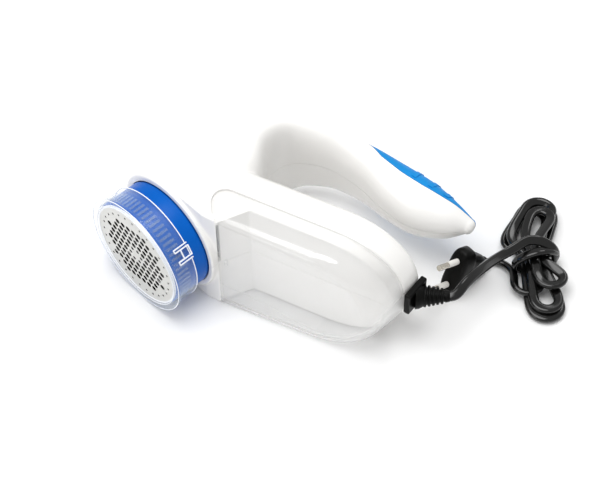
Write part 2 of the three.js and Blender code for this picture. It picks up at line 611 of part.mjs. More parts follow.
function makeLead(parent) {
  const section = new THREE.Shape().absellipse(0, 0, LEAD_THICK / 2, LEAD_WIDTH / 2, 0,
    2 * Math.PI, false, 0);
  const sweep = (points, steps) => toManifold(new THREE.ExtrudeGeometry(section, {
    steps, bevelEnabled: false, curveSegments: 5,
    extrudePath: new THREE.CatmullRomCurve3(points.map((p) => new THREE.Vector3(...p))),
  }));
  named('lead_run', sweep(LEAD_ROUTE, 12), BLACK, parent);

  const straight = (HANK.length - HANK.width) / 2;
  const outline = new THREE.Shape();
  outline.absarc(straight, 0, HANK.width / 2, -Math.PI / 2, Math.PI / 2, false);
  outline.absarc(-straight, 0, HANK.width / 2, Math.PI / 2, (3 * Math.PI) / 2, false);
  const hank = new THREE.ExtrudeGeometry(outline,
    { depth: HANK.height, bevelEnabled: false, curveSegments: 8 });
  named('lead_hank', placed(hank, new THREE.Matrix4().makeRotationZ(HANK.turn)
    .setPosition(HANK.x, HANK.y, FLOOR_Z)), BLACK, parent);
}

// The plug stands on its narrow edge, its pins lifted a little by the stiff lead.
function makePlug(parent) {
  const plug = new THREE.Group();
  const pins = new THREE.Vector3(-0.333, -0.85, 0.41).normalize();
  const wide = new THREE.Vector3(0, 0, 1).addScaledVector(pins, -pins.z).normalize();
  const thick = new THREE.Vector3().crossVectors(wide, pins);
  plug.matrixAutoUpdate = false;
  plug.matrix.makeBasis(thick, pins, wide).setPosition(174.5, 91.2, FLOOR_Z + 19.9);
  parent.add(plug);

  const profile = new THREE.Shape();
  const side = [[0, 17.2], [-9, 17.2], [-11, 12.5], [-28, 5.5]];
  const mirrored = side.map(([x, y]) => [x, -y]).reverse();
  [...side, ...mirrored].forEach(([x, y], i) => (i ? profile.lineTo(x, y) : profile.moveTo(x, y)));
  const body = new THREE.ExtrudeGeometry(profile, {
    depth: 9.6, bevelEnabled: true, bevelSize: 1.6, bevelThickness: 1.9, bevelSegments: 2,
    bevelOffset: -1.2,
  }).translate(0, 0, -4.8);
  body.rotateY(Math.PI / 2).rotateX(Math.PI / 2);
  named('plug_body', placed(body, new THREE.Matrix4()), BLACK, plug);
  for (const [name, z] of [['live', 9.3], ['neutral', -9.3]]) {
    named(`pin_${name}`, rod(1.9, 10.6, 19, 0, z, 14), NICKEL, plug);
    named(`pin_sleeve_${name}`, rod(2.0, 0.8, 10.3, 0, z, 14), WHITE, plug);
  }
  return plug;
}

// ---------------------------------------------------------------- the whole tool
const tool = new THREE.Group();
makeHousing(tool);
makeGrip(tool);
makeLintBox(tool);
tool.add(headGroup);
makeGuard(headGroup);
makeCollar(headGroup);
makeFoil(headGroup);
makeCutter(headGroup);
makeDrive(headGroup);
makeBowlAndMotor(headGroup);
makeSafetySwitch(headGroup);
makePowerSwitch(tool);
makeElectrics(tool);
makeStrainRelief(tool);

const group = new THREE.Group();
group.add(tool);
tool.updateMatrixWorld(true);
const bounds = new THREE.Box3().setFromObject(tool, true);
const centre = bounds.getCenter(new THREE.Vector3());

const loose = new THREE.Group();
makeLead(loose);
makePlug(loose);
group.add(loose);
for (const part of [tool, loose]) part.position.set(-centre.x, -centre.y, -bounds.min.z);

export default group;
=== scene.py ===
# Looks of the fabric shaver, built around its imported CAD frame. Lengths in this file are in
# millimetres in the design frame of the housing (x along the housing, y from the lint box's
# sole to the grip, z across it); place() turns them into the metres of the row frame.
import math

import bmesh
import bpy
import numpy as np
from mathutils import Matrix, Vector


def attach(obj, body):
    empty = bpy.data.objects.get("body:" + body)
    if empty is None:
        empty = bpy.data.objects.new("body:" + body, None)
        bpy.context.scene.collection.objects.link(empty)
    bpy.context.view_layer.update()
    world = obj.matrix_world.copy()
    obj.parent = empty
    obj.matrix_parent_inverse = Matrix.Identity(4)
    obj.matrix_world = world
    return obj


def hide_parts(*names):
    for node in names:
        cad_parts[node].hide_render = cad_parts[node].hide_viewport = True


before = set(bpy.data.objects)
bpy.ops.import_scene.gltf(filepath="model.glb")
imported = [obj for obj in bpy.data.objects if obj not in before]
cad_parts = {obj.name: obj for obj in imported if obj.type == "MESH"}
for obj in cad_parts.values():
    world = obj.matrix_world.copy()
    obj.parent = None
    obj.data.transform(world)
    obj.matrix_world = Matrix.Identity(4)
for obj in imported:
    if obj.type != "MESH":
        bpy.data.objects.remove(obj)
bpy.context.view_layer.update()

# ------------------------------------------------------------------ frames and sizes
SHIFT = np.array([-74.0365, -60.1566, 41.0])   # design frame to row frame, in mm
MM = 0.001
FLOOR_Z = -41.0
HALF_WIDTH = 41.0
GAP = 0.3
HEAD_TILT = 0.334
HEAD_AXIS = np.array([math.sin(HEAD_TILT), math.cos(HEAD_TILT), 0.0])
HEAD_ORIGIN = -1.6 * HEAD_AXIS


def place(points):
    """Design millimetres to row-frame metres."""
    return (np.asarray(points, float) + SHIFT) * MM


def head_matrix():
    """The head's frame, whose +y points into the tool, as a matrix over design millimetres."""
    side = np.array([math.cos(HEAD_TILT), -math.sin(HEAD_TILT), 0.0])
    columns = [side, HEAD_AXIS, (0, 0, 1), HEAD_ORIGIN]
    return np.array(columns, float).T


def from_head(points):
    m = head_matrix()
    return np.asarray(points, float) @ m[:, :3].T + m[:, 3]


# ------------------------------------------------------------------ camera and light
AIM = Vector((0.01765, -0.00675, 0.0456))
AZIMUTH, ELEVATION = math.radians(27), math.radians(52)
DISTANCE = 1.05
SENSOR_MM, LENS_MM = 36, 99.35
FLOOR_REACH = 6.0              # half the table top's side, in metres


def make_camera():
    back = Vector((math.sin(AZIMUTH) * math.cos(ELEVATION),
                   -math.cos(AZIMUTH) * math.cos(ELEVATION), math.sin(ELEVATION)))
    data = bpy.data.cameras.new("camera")
    data.sensor_width = SENSOR_MM
    data.lens = LENS_MM
    camera = bpy.data.objects.new("camera", data)
    camera.location = AIM + back * DISTANCE
    camera.rotation_mode = "QUATERNION"
    camera.rotation_quaternion = (-back).to_track_quat("-Z", "Y")
    bpy.context.scene.collection.objects.link(camera)
    bpy.context.scene.camera = camera


def area_light(name, at, towards, size, power):
    data = bpy.data.lights.new(name, "AREA")
    data.shape = "DISK"
    data.size = size
    data.energy = power
    light = bpy.data.objects.new(name, data)
    light.location = at
    light.rotation_mode = "QUATERNION"
    light.rotation_quaternion = (Vector(towards) - Vector(at)).to_track_quat("-Z", "Y")
    bpy.context.scene.collection.objects.link(light)


def make_studio():
    world = bpy.data.worlds.new("studio")
    bpy.context.scene.world = world
    world.use_nodes = True
    background = world.node_tree.nodes["Background"]
    background.inputs["Color"].default_value = (1.0, 1.0, 1.0, 1)
    background.inputs["Strength"].default_value = 0.55
    area_light("overhead", (-0.1, -0.1, 1.1), (0.02, 0.0, 0.0), 0.9, 9)
    area_light("front_fill", (-0.55, -1.0, 0.6), (0, 0, 0.03), 0.8, 2.9)
    area_light("back_glint", (0.15, 0.95, 1.0), (0.1, 0.05, 0.02), 0.45, 2.2)
    bpy.context.scene.view_settings.view_transform = "Standard"

    mesh = bpy.data.meshes.new("table_top")
    corners = [(x * FLOOR_REACH, y * FLOOR_REACH, 0) for x, y in ((-1, -1), (1, -1), (1, 1), (-1, 1))]
    mesh.from_pydata(corners, [], [(0, 1, 2, 3)])
    floor = bpy.data.objects.new("table_top", mesh)
    bpy.context.scene.collection.objects.link(floor)
    paper = bpy.data.materials.new("paper_sweep")
    paper.use_nodes = True
    shader = paper.node_tree.nodes["Principled BSDF"]
    shader.inputs["Base Color"].default_value = (0.93, 0.93, 0.93, 1)
    shader.inputs["Roughness"].default_value = 0.9
    floor.data.materials.append(paper)


# ------------------------------------------------------------------ mesh helpers
def new_piece(name, points, faces, smooth=True):
    """A mesh object from design-frame points."""
    mesh = bpy.data.meshes.new(name)
    mesh.from_pydata([tuple(p) for p in place(points)], [], [tuple(f) for f in faces])
    mesh.validate()
    piece = bpy.data.objects.new(name, mesh)
    bpy.context.scene.collection.objects.link(piece)
    face_out(piece)
    if smooth:
        mesh.polygons.foreach_set("use_smooth", [True] * len(mesh.polygons))
    return piece


def face_out(piece):
    bm = bmesh.new()
    bm.from_mesh(piece.data)
    bmesh.ops.recalc_face_normals(bm, faces=bm.faces)
    if bm.calc_volume(signed=True) < 0:
        bmesh.ops.reverse_faces(bm, faces=bm.faces)
    bm.to_mesh(piece.data)
    bm.free()


def loft(name, rings):
    """A closed skin through rings of points that all have the same count."""
    rings = [np.asarray(r, float) for r in rings]
    count = len(rings[0])
    faces = []
    for k in range(len(rings) - 1):
        for i in range(count):
            j = (i + 1) % count
            faces.append((k * count + i, k * count + j, (k + 1) * count + j, (k + 1) * count + i))
    last = (len(rings) - 1) * count
    faces.append(tuple(range(count - 1, -1, -1)))
    faces.append(tuple(range(last, last + count)))
    return new_piece(name, np.concatenate(rings), faces)


def plate(name, outline, low, high):
    """A plan outline of [x, y] points, made solid from z = low to z = high."""
    return loft(name, [[(x, y, z) for x, y in outline] for z in (low, high)])


def turned(name, profile, segments=96, closed=True):
    """A turned solid about the head's axis, from [radius, y] points in the head's frame."""
    points, rows = [], []
    for r, y in profile:
        if r < 1e-6:
            rows.append([len(points)] * segments)
            points.append((0.0, y, 0.0))
            continue
        rows.append(list(range(len(points), len(points) + segments)))
        for i in range(segments):
            angle = 2 * math.pi * i / segments
            points.append((r * math.cos(angle), y, r * math.sin(angle)))
    faces = []
    pairs = list(zip(rows, rows[1:])) + ([(rows[-1], rows[0])] if closed else [])
    for a, b in pairs:
        for i in range(segments):
            j = (i + 1) % segments
            corners = []
            for v in (a[i], a[j], b[j], b[i]):
                if v not in corners:
                    corners.append(v)
            if len(corners) > 2:
                faces.append(corners)
    return new_piece(name, from_head(points), faces)


def block(name, size, centre, matrix=None):
    """A box of a given size, turned by an optional 3x3 matrix, in the design frame."""
    corners = np.array([(x, y, z) for x in (-1, 1) for y in (-1, 1) for z in (-1, 1)], float)
    corners = corners * np.array(size) / 2
    if matrix is not None:
        corners = corners @ np.asarray(matrix).T
    faces = [(0, 1, 3, 2), (4, 6, 7, 5), (0, 4, 5, 1), (2, 3, 7, 6), (0, 2, 6, 4), (1, 5, 7, 3)]
    return new_piece(name, corners + np.array(centre), faces, smooth=False)


def bar(name, radius, start, end, segments=48):
    """A plain round bar between two design-frame points."""
    start, end = np.array(start, float), np.array(end, float)
    along = (end - start) / np.linalg.norm(end - start)
    side = np.cross(along, (0, 0, 1) if abs(along[2]) < 0.9 else (1, 0, 0))
    side /= np.linalg.norm(side)
    up = np.cross(along, side)
    angles = [2 * math.pi * i / segments for i in range(segments)]
    return loft(name, [[p + radius * (math.cos(a) * side + math.sin(a) * up) for a in angles]
                       for p in (start, end)])


def bake_modifiers(piece):
    graph = bpy.context.evaluated_depsgraph_get()
    mesh = bpy.data.meshes.new_from_object(piece.evaluated_get(graph))
    piece.modifiers.clear()
    piece.data = mesh


def boolean(piece, tool, operation, solver="MANIFOLD"):
    modifier = piece.modifiers.new("boolean", "BOOLEAN")
    modifier.operation = operation
    modifier.object = tool
    modifier.solver = solver
    bake_modifiers(piece)
    bpy.data.objects.remove(tool)
    return piece


def cut(piece, *tools):
    for tool in tools:
        boolean(piece, tool, "DIFFERENCE")
    return piece


def join(piece, *tools):
    for tool in tools:
        boolean(piece, tool, "UNION")
    return piece


def copied(piece, name):
    twin = bpy.data.objects.new(name, piece.data.copy())
    bpy.context.scene.collection.objects.link(twin)
    return twin


def soften(piece, width, segments=3, angle=35):
    """Rounded edges and smooth shading."""
    bevel = piece.modifiers.new("bevel", "BEVEL")
    bevel.width = width * MM
    bevel.segments = segments
    bevel.limit_method = "ANGLE"
    bevel.angle_limit = math.radians(angle)
    bevel.harden_normals = False
    piece.data.polygons.foreach_set("use_smooth", [True] * len(piece.data.polygons))
    normals = piece.modifiers.new("normals", "WEIGHTED_NORMAL")
    normals.keep_sharp = True
    return piece


def smooth_by_angle(piece, angle=40):
    """Smooth shading that keeps edges sharper than the angle."""
    bm = bmesh.new()
    bm.from_mesh(piece.data)
    limit = math.radians(angle)
    for face in bm.faces:
        face.smooth = True
    for edge in bm.edges:
        edge.smooth = len(edge.link_faces) == 2 and edge.calc_face_angle(0) < limit
    bm.to_mesh(piece.data)
    bm.free()
    return piece


def finish_piece(piece, body, material, slot, *nodes):
    piece.data.materials.clear()
    piece.data.materials.append(material)
    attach(piece, body)
    if nodes:
        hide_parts(*nodes)
    return piece


# ------------------------------------------------------------------ materials
def grained(name, colour, roughness, metallic=0.0, grain=900.0, depth=0.02, spread=0.06,
            specular=0.5, coat=0.0, tone=0.03):
    """Moulded or metal finish: fine grain in the bump, drifting roughness and colour."""
    material = bpy.data.materials.new(name)
    material.use_nodes = True
    tree = material.node_tree
    shader = tree.nodes["Principled BSDF"]
    shader.inputs["Metallic"].default_value = metallic
    shader.inputs["Specular IOR Level"].default_value = specular
    shader.inputs["Coat Weight"].default_value = coat
    shader.inputs["Coat Roughness"].default_value = 0.08
    coordinates = tree.nodes.new("ShaderNodeTexCoord")

    drift = tree.nodes.new("ShaderNodeTexNoise")
    drift.inputs["Scale"].default_value = 35.0
    drift.inputs["Detail"].default_value = 4.0
    tree.links.new(coordinates.outputs["Object"], drift.inputs["Vector"])
    colours = tree.nodes.new("ShaderNodeValToRGB")
    low = [c * (1 - tone) for c in colour]
    high = [min(1.0, c * (1 + tone)) for c in colour]
    colours.color_ramp.elements[0].position = 0.3
    colours.color_ramp.elements[0].color = (*low, 1)
    colours.color_ramp.elements[1].position = 0.7
    colours.color_ramp.elements[1].color = (*high, 1)
    tree.links.new(drift.outputs["Fac"], colours.inputs["Fac"])
    tree.links.new(colours.outputs["Color"], shader.inputs["Base Color"])

    rough = tree.nodes.new("ShaderNodeMapRange")
    rough.inputs["To Min"].default_value = max(roughness - spread, 0.02)
    rough.inputs["To Max"].default_value = roughness + spread
    tree.links.new(drift.outputs["Fac"], rough.inputs["Value"])
    tree.links.new(rough.outputs["Result"], shader.inputs["Roughness"])

    fine = tree.nodes.new("ShaderNodeTexNoise")
    fine.inputs["Scale"].default_value = grain
    fine.inputs["Detail"].default_value = 2.0
    tree.links.new(coordinates.outputs["Object"], fine.inputs["Vector"])
    bump = tree.nodes.new("ShaderNodeBump")
    bump.inputs["Strength"].default_value = 1.0
    bump.inputs["Distance"].default_value = depth * MM
    tree.links.new(fine.outputs["Fac"], bump.inputs["Height"])
    tree.links.new(bump.outputs["Normal"], shader.inputs["Normal"])
    return material


def clear_plastic(name, colour, facing, edge, edge_shade_colour, stipple=None):
    """Clear moulded plastic: faint where it faces the view, and plainer along its edges, where its
    colour is also drawn towards a darker painted shade.
    """
    material = grained(name, colour, 0.08, grain=260.0, depth=0.004, spread=0.03, tone=0.004)
    tree = material.node_tree
    shader = tree.nodes["Principled BSDF"]
    shader.inputs["IOR"].default_value = 1.46
    weight = tree.nodes.new("ShaderNodeLayerWeight")
    weight.inputs["Blend"].default_value = 0.4
    cover = tree.nodes.new("ShaderNodeMapRange")
    cover.inputs["From Min"].default_value = 0.25
    cover.inputs["To Min"].default_value = facing
    cover.inputs["To Max"].default_value = edge
    tree.links.new(weight.outputs["Facing"], cover.inputs["Value"])
    see_through = tree.nodes.new("ShaderNodeBsdfTransparent")
    body = tree.nodes.new("ShaderNodeMixShader")
    tree.links.new(cover.outputs["Result"], body.inputs[0])
    tree.links.new(see_through.outputs["BSDF"], body.inputs[1])
    tree.links.new(shader.outputs["BSDF"], body.inputs[2])
    gloss = tree.nodes.new("ShaderNodeBsdfGlossy")
    gloss.inputs["Roughness"].default_value = 0.12
    mirror = tree.nodes.new("ShaderNodeMapRange")
    mirror.inputs["From Min"].default_value = 0.45
    mirror.inputs["To Min"].default_value = 0.035
    mirror.inputs["To Max"].default_value = 0.16
    tree.links.new(weight.outputs["Facing"], mirror.inputs["Value"])
    surface = tree.nodes.new("ShaderNodeMixShader")
    tree.links.new(mirror.outputs["Result"], surface.inputs[0])
    tree.links.new(body.outputs["Shader"], surface.inputs[1])
    tree.links.new(gloss.outputs["BSDF"], surface.inputs[2])
    tree.links.new(surface.outputs["Shader"], tree.nodes["Material Output"].inputs["Surface"])
    # painted shade: where the surface turns edge-on to the view, its colour is drawn towards the
    # darker edge shade colour
    shade = tree.nodes.new("ShaderNodeMapRange")
    shade.inputs["From Min"].default_value = 0.6
    tree.links.new(weight.outputs["Facing"], shade.inputs["Value"])
    blend = tree.nodes.new("ShaderNodeMix")
    blend.data_type = "RGBA"
    blend.inputs["B"].default_value = (*edge_shade_colour, 1)
    tree.links.new(shade.outputs["Result"], blend.inputs["Factor"])
    tree.links.new(tree.nodes["Color Ramp"].outputs["Color"], blend.inputs["A"])
    tree.links.new(blend.outputs["Result"], shader.inputs["Base Color"])
    if stipple is not None:
        coordinates = tree.nodes["Texture Coordinate"]
        split = tree.nodes.new("ShaderNodeSeparateXYZ")
        tree.links.new(coordinates.outputs["Object"], split.inputs["Vector"])
        zone = tree.nodes.new("ShaderNodeMapRange")
        zone.inputs["From Min"].default_value = stipple
        zone.inputs["From Max"].default_value = stipple + 0.02
        tree.links.new(split.outputs["X"], zone.inputs["Value"])
        dots = tree.nodes.new("ShaderNodeTexVoronoi")
        dots.inputs["Scale"].default_value = 420.0
        tree.links.new(coordinates.outputs["Object"], dots.inputs["Vector"])
        relief = tree.nodes.new("ShaderNodeBump")
        relief.inputs["Distance"].default_value = 0.25 * MM
        tree.links.new(zone.outputs["Result"], relief.inputs["Strength"])
        tree.links.new(dots.outputs["Distance"], relief.inputs["Height"])
        tree.links.new(tree.nodes["Bump"].outputs["Normal"], relief.inputs["Normal"])
        tree.links.new(relief.outputs["Normal"], shader.inputs["Normal"])
    return material


MATERIALS = {
    "white": grained("gloss_white", (0.86, 0.85, 0.83), 0.22, grain=700, depth=0.006, tone=0.01),
    "blue": grained("collar_blue", (0.0, 0.1, 0.46), 0.3, grain=700, depth=0.008, specular=0.12),
    "grip": grained("grip_blue", (0.004, 0.24, 0.62), 0.5, grain=2600, depth=0.03, tone=0.04,
                    specular=0.15),
    "black": grained("soft_black", (0.003, 0.003, 0.0028), 0.36, grain=1800, depth=0.02,
                     specular=0.1),
    "lead": grained("lead_black", (0.004, 0.004, 0.0038), 0.14, grain=900, depth=0.012, tone=0.1,
                    specular=0.5),
    "dark": grained("dark_nylon", (0.008, 0.009, 0.01), 0.5, grain=1500, depth=0.03,
                    specular=0.15),
    "board": grained("board_green", (0.03, 0.12, 0.05), 0.55, grain=900, depth=0.03),
    "steel": grained("steel", (0.72, 0.72, 0.7), 0.3, metallic=1.0, grain=2200, depth=0.01),
    "foil": grained("foil_steel", (0.62, 0.62, 0.6), 0.34, metallic=0.9, grain=2600, depth=0.012),
    "nickel": grained("pin_nickel", (0.72, 0.68, 0.6), 0.2, metallic=1.0, grain=1500, depth=0.01),
    "can": grained("motor_can", (0.5, 0.5, 0.5), 0.38, metallic=1.0, grain=1200, depth=0.02),
    # the last colour of each clear plastic below is its painted edge shade
    "clear": clear_plastic("clear_plastic", (0.95, 0.95, 0.945), 0.12, 0.75, (0.4, 0.41, 0.43),
                           stipple=0.062),
    "guard": clear_plastic("guard_plastic", (0.78, 0.88, 0.98), 0.02, 0.3, (0.45, 0.6, 0.82)),
    "rib": clear_plastic("rib_plastic", (0.6, 0.8, 0.98), 0.08, 0.26, (0.35, 0.55, 0.85)),
    # painted highlight: a pale opaque finish for the clear guard's edges, standing in for the light
    # lines along them
    "edge": grained("painted_edge_highlight", (0.88, 0.9, 0.94), 0.2, grain=900, depth=0.005, tone=0.02),
    "sleeve": grained("pin_sleeve", (0.8, 0.78, 0.74), 0.35, grain=1200, depth=0.01),
}


# ------------------------------------------------------------------ the lead
LEAD_WIDTH, LEAD_THICK = 6.4, 4.0
HANK_CENTRE = np.array([213.0, 135.3])
HANK_TURN = -1.07
LEAD_X, LEAD_Y = 164.8, 50.0
LEAD_STEP = 1.6                # distance between the rings of the lead's skin
LEAD_SMOOTHING = 6             # passes that ease the corners of its route
LEAD_LOWEST = 2.7              # least height of its middle above the table
BOOT_LEAN = 0.46               # the boot's angle from the housing's length
BOOT_LENGTH = 20.0
BOOT_ROOT = np.array([LEAD_X + 2.6, LEAD_Y, 0.0])
BOOT_AXIS = np.array([math.cos(BOOT_LEAN), math.sin(BOOT_LEAN), 0.0])


def spline(points, step):
    """A centripetal Catmull-Rom curve through the points, smoothed and sampled at even steps."""
    p = np.asarray(points, float)
    p = np.vstack([2 * p[0] - p[1], p, 2 * p[-1] - p[-2]])
    out = []
    for i in range(1, len(p) - 2):
        p0, p1, p2, p3 = p[i - 1:i + 3]
        t = [0.0]
        for a, b in ((p0, p1), (p1, p2), (p2, p3)):
            t.append(t[-1] + max(np.linalg.norm(b - a), 1e-6) ** 0.5)
        for u in np.linspace(t[1], t[2], 12, endpoint=False):
            a1 = (t[1] - u) / (t[1] - t[0]) * p0 + (u - t[0]) / (t[1] - t[0]) * p1
            a2 = (t[2] - u) / (t[2] - t[1]) * p1 + (u - t[1]) / (t[2] - t[1]) * p2
            a3 = (t[3] - u) / (t[3] - t[2]) * p2 + (u - t[2]) / (t[3] - t[2]) * p3
            b1 = (t[2] - u) / (t[2] - t[0]) * a1 + (u - t[0]) / (t[2] - t[0]) * a2
            b2 = (t[3] - u) / (t[3] - t[1]) * a2 + (u - t[1]) / (t[3] - t[1]) * a3
            out.append((t[2] - u) / (t[2] - t[1]) * b1 + (u - t[1]) / (t[2] - t[1]) * b2)
    out.append(p[-2])
    out = evenly(np.array(out), step)
    for _ in range(LEAD_SMOOTHING):
        out[1:-1] = 0.25 * out[:-2] + 0.5 * out[1:-1] + 0.25 * out[2:]
    return evenly(out, step)


def evenly(line, step):
    """The line sampled again at even distances of about one step."""
    reach = np.concatenate([[0], np.cumsum(np.linalg.norm(np.diff(line, axis=0), axis=1))])
    at = np.linspace(0, reach[-1], int(reach[-1] / step) + 1)
    return np.stack([np.interp(at, reach, line[:, k]) for k in range(3)], axis=1)


def hank_point(u, v, height):
    """A point of the hank: u along it, v across it, height above the table."""
    c, s = math.cos(HANK_TURN), math.sin(HANK_TURN)
    return (HANK_CENTRE[0] + u * c - v * s, HANK_CENTRE[1] + u * s + v * c, FLOOR_Z + height)


# Each turn's upper loop: its far end, radius, sideways offset and height, and how far it bulges
# to the left near the waist. Then its lower loop: far end, radius, offset and height. Last, the
# height at which it passes the waist.
TURNS = [
    ((45.5, 12.0, 5.5, 3.2, 17.5), (45.5, 9.8, 3.5, 3.2), 5.0),
    ((40.5, 8.4, 3.0, 5.6, 13.0), (41.5, 8.2, 4.0, 7.0), 9.0),
    ((44.5, 9.8, 6.5, 9.2, 14.0), (27.0, 8.6, 8.0, 12.5), 13.0),
    ((36.0, 7.2, 7.0, 11.0, 5.0), (28.0, 8.8, -6.5, 6.0), 16.0),
]


def hank_turns():
    """The hank's turns: each goes round its upper loop, past the waist and round its lower loop."""
    points = []
    for number, (upper, lower, waist_height) in enumerate(TURNS):
        far, radius, offset, height, bulge = upper
        points.append(hank_point(-13, -bulge, height + 1))
        for i in range(7):
            angle = math.pi * (i + 0.5) / 7
            points.append(hank_point(-far + radius * (1 - math.sin(angle)),
                                     offset - radius * math.cos(angle), height))
        points.append(hank_point(0, 6.5 - 2.5 * number, waist_height))
        far, radius, offset, height = lower
        for i in range(7):
            angle = math.pi * (i + 0.5) / 7
            points.append(hank_point(far - radius * (1 - math.sin(angle)),
                                     offset + radius * math.cos(angle), height))
        if number < len(TURNS) - 1:
            points.append(hank_point(0, -7.5 + 2.5 * number, waist_height + 1.5))
    return points


# The plug: the way its pins point, the middle of its face, and the distance back to its neck.
PLUG_PINS = np.array([-0.333, -0.85, 0.41])
PLUG_AT = np.array([174.5, 91.2, FLOOR_Z + 19.9])
PLUG_NECK = 33.0
PLUG_DROOP = 3.1               # how far the neck sags to the floor
PLUG_CLEARANCE = 0.05


def lead_route():
    """From the boot over to the hank, round its waist, through its turns and on to the plug."""
    start = BOOT_ROOT + BOOT_AXIS * (BOOT_LENGTH - 4)
    run = [start, BOOT_ROOT + BOOT_AXIS * (BOOT_LENGTH + 3.5), (189.6, 68, 1), (191.4, 80, -1.5),
           (193.4, 92, -6), (195.2, 103, -11), (197.8, 113, -15), (202, 122, -16.5)]
    over = [hank_point(-1.5, -4.5, 24), hank_point(0, 5, 22.5), hank_point(2, 12.5, 15),
            hank_point(4, 12, 6), hank_point(5.5, 3, 2.8), hank_point(7, -8, 3.6),
            hank_point(8, -14.5, 10), hank_point(7.5, -9, 18), hank_point(6, 0, 21),
            hank_point(3.5, 9, 18.5), hank_point(0, 13.5, 11.5), hank_point(-4, 10, 4),
            hank_point(-7, 0, 2.8)]
    pins = PLUG_PINS / np.linalg.norm(PLUG_PINS)
    neck = PLUG_AT - pins * PLUG_NECK - np.array([0, 0, PLUG_DROOP])
    tail = [hank_point(10, -14, 4.5), hank_point(3.5, -17, 3.4), hank_point(-0.5, -22, 3),
            (190.5, 124.5, FLOOR_Z + 3), neck - pins * 5, neck]
    return run + over + hank_turns() + tail


def twin_section(count=20):
    """Section of a flat twin lead: two round cores side by side with a shallow waist."""
    ring = []
    for i in range(count):
        angle = 2 * math.pi * i / count
        w = LEAD_WIDTH / 2 * math.copysign(abs(math.cos(angle)) ** 0.8, math.cos(angle))
        pinch = 1 - 0.14 * math.exp(-(w / 0.8) ** 2)
        h = LEAD_THICK / 2 * math.copysign(abs(math.sin(angle)) ** 0.75, math.sin(angle)) * pinch
        ring.append((w, h))
    return ring


def sweep(name, line, section, tilt):
    """The section carried along a line; its wide side leans up by the tilt at each point."""
    tangents = np.gradient(line, axis=0)
    tangents /= np.linalg.norm(tangents, axis=1)[:, None]
    up = np.array([0, 0, 1.0])
    rings, wide = [], None
    for point, tangent, lean in zip(line, tangents, tilt):
        level = np.cross(up, tangent)
        if np.linalg.norm(level) < 0.25 and wide is not None:
            wide = wide - tangent * (wide @ tangent)
        else:
            level /= np.linalg.norm(level)
            over = np.cross(tangent, level)
            target = math.cos(lean) * level + math.sin(lean) * over
            if wide is None:
                wide = target
            if wide @ target < 0:
                target = -target
            wide = 0.8 * wide + 0.2 * target
            wide = wide - tangent * (wide @ tangent)
        wide = wide / np.linalg.norm(wide)
        thin = np.cross(tangent, wide)
        rings.append([point + w * wide + h * thin for w, h in section])
    return loft(name, rings)


def make_lead():
    line = spline(lead_route(), LEAD_STEP)
    line[:, 2] = np.maximum(line[:, 2], FLOOR_Z + LEAD_LOWEST)
    length = float(np.sum(np.linalg.norm(np.diff(line, axis=0), axis=1)))
    tilt = 0.35 + 0.5 * np.sin(np.linspace(0, 9 * math.pi, len(line)))
    lead = sweep("lead", line, twin_section(), tilt)
    finish_piece(lead, "housing", MATERIALS["lead"], "black_plastic", "lead_run", "lead_hank")
    return lead, line, length


# ------------------------------------------------------------------ head, neck and handle
# A point on the outer side, a point on the inner side, half width, squareness of the section.
STATIONS = [
    ((-30, 38.7), (47, 12), 40.5, 2.0),
    ((-29, 46), (50, 30), 41, 3.0),
    ((-16, 68), (52, 50), 41, 3.4),
    ((6, 98), (50, 72), 41, 3.2),
    ((31, 116), (44, 93), 38.5, 2.8),
    ((56, 130.5), (50, 108), 31, 2.5),
    ((79, 134), (72, 116), 26.5, 2.3),
    ((102, 135), (98, 111), 23.7, 2.2),
    ((124, 134), (120, 101.5), 20, 2.2),
    ((145, 130.5), (141, 96.5), 17, 2.2),
    ((163, 123.5), (161, 101), 12.5, 2.2),
    ((175, 118.5), (173, 108.5), 5.5, 2.1),
]
GRIP_LINE = [(70, 140), (87, 135.5), (97.6, 129), (108, 123.3), (124, 119.4), (139, 117.3),
             (155, 116.6), (173, 116.4), (186, 114.5)]
GRIP_DEPTH = 1.9


def through(points, t):
    """A point at t of a centripetal curve that gives each stretch between points the same share."""
    p = np.asarray(points, float)
    spot = t * (len(p) - 1)
    i = min(int(spot), len(p) - 2)
    w = spot - i
    p1, p2 = p[i], p[i + 1]
    p0 = p[i - 1] if i > 0 else 2 * p1 - p2
    p3 = p[i + 2] if i + 2 < len(p) else 2 * p2 - p1
    d0, d1, d2 = (max(np.linalg.norm(b - a), 1e-4) ** 0.5
                  for a, b in ((p0, p1), (p1, p2), (p2, p3)))
    m1 = ((p1 - p0) / d0 - (p2 - p0) / (d0 + d1) + (p2 - p1) / d1) * d1
    m2 = ((p2 - p1) / d1 - (p3 - p1) / (d1 + d2) + (p3 - p2) / d2) * d1
    return ((2 * w ** 3 - 3 * w ** 2 + 1) * p1 + (w ** 3 - 2 * w ** 2 + w) * m1
            + (3 * w ** 2 - 2 * w ** 3) * p2 + (w ** 3 - w ** 2) * m2)


OUTER = [s[0] for s in STATIONS]
INNER = [s[1] for s in STATIONS]
SPREAD = [(20 * i, s[2], s[3]) for i, s in enumerate(STATIONS)]


def handle_ring(t, inset, count):
    """A section of the head, neck and handle, drawn in by an inset, at t along its length."""
    outer, inner = through(OUTER, t), through(INNER, t)
    middle = (outer + inner) / 2
    reach = outer - middle
    depth = max(np.linalg.norm(reach) - inset, 0.4)
    reach = reach / np.linalg.norm(reach) * depth
    _, half, square = through(SPREAD, t)
    across = max(min(half, HALF_WIDTH) - inset, 0.4)
    power = 2 / square
    angle = (np.arange(count) + 0.5) / count * 2 * math.pi
    u = np.sign(np.cos(angle)) * np.abs(np.cos(angle)) ** power
    v = np.sign(np.sin(angle)) * np.abs(np.sin(angle)) ** power
    return np.stack([middle[0] + reach[0] * u, middle[1] + reach[1] * u, across * v], axis=1)


